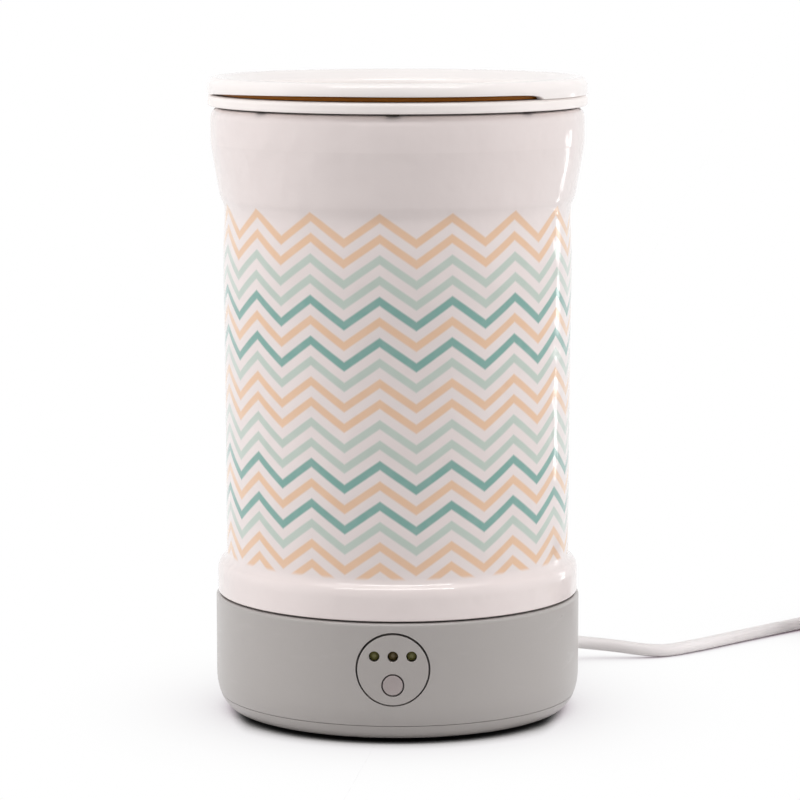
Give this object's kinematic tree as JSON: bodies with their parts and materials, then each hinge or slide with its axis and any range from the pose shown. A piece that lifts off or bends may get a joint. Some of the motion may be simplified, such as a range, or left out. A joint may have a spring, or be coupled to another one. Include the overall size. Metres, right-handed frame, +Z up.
{
  "type": "electric aroma lamp",
  "caption": "Electric aroma lamp: glazed ceramic cylinder with a chevron print on a round grey base, heated pan and lift-off wax dish on top, push button, LEDs and mains lead.",
  "frame": {"origin": "on the table, under the middle of the base", "axes": "+Z up along the body's axis, the control panel faces -Y, the cord leaves at the back towards +X"},
  "size_m": [0.2803, 0.1971, 0.1882],
  "materials": {
    "glazed_body": "white glaze with a printed chevron pattern",
    "dish_glaze": "white glaze",
    "bezel_plastic": "white, smooth",
    "base_plastic": "warm grey, fine matte",
    "panel_plastic": "warm grey, fine matte",
    "button_plastic": "pale grey",
    "led_lens": "tinted lens",
    "pan_coating": "brown non-stick coat",
    "dark_rubber": "matte",
    "screw_steel": "zinc plated",
    "tie_brass": "turned",
    "heater_ceramic": "plain",
    "circuit_board": "green solder mask",
    "black_plastic": "moulded",
    "terminal_plastic": "moulded",
    "lead_sleeve": "extruded",
    "cord_white": "extruded white sheath",
    "pin_metal": "nickel plated",
    "tie_strap": "hook and loop strap"
  },
  "bodies": {
    "base": {"ceramic_body": "glazed_body", "bezel_ring": "bezel_plastic", "base_shell": "base_plastic", "base_cover": "base_plastic", "control_panel": "panel_plastic", "led_1": "led_lens", "led_2": "led_lens", "led_3": "led_lens", "heater_pan": "pan_coating", "rim_gasket": "dark_rubber", "body_gasket": "dark_rubber", "foot_1": "dark_rubber", "foot_2": "dark_rubber", "foot_3": "dark_rubber", "foot_4": "dark_rubber", "cover_screw_1": "screw_steel", "cover_screw_2": "screw_steel", "cover_screw_3": "screw_steel", "control_screw_1": "screw_steel", "control_screw_2": "screw_steel", "power_screw_1": "screw_steel", "power_screw_2": "screw_steel", "bracket_screw_1": "screw_steel", "bracket_screw_2": "screw_steel", "clamp_screw_1": "screw_steel", "clamp_screw_2": "screw_steel", "top_washer": "screw_steel", "bottom_washer": "screw_steel", "heater_bracket": "screw_steel", "ptc_clamp": "screw_steel", "tie_tube": "tie_brass", "top_nut": "tie_brass", "bottom_nut": "tie_brass", "ptc_element": "heater_ceramic", "thermal_fuse": "heater_ceramic", "control_board": "circuit_board", "power_board": "circuit_board", "tact_switch": "black_plastic", "capacitor": "black_plastic", "relay": "black_plastic", "terminal_block": "terminal_plastic", "heater_lead_1": "lead_sleeve", "heater_lead_2": "lead_sleeve", "ribbon_cable": "lead_sleeve", "strain_relief": "cord_white", "cord": "cord_white", "cord_coil": "cord_white", "cord_tail": "cord_white", "plug_body": "cord_white", "mains_lead": "cord_white", "plug_pin_1": "pin_metal", "plug_pin_2": "pin_metal", "coil_tie": "tie_strap"},
    "dish": {"wax_dish": "dish_glaze"},
    "button": {"button_cap": "button_plastic", "switch_plunger": "black_plastic"}
  },
  "joints": [
    {"name": "dish_lift", "type": "slide", "parent": "base", "child": "dish", "axis": [0, 0, 1], "range_m": [0, 0.06]},
    {"name": "button_press", "type": "slide", "parent": "base", "child": "button", "axis": [0, 1, 0], "range_m": [0, 0.0005], "stiffness_N_per_m": 1200}
  ]
}
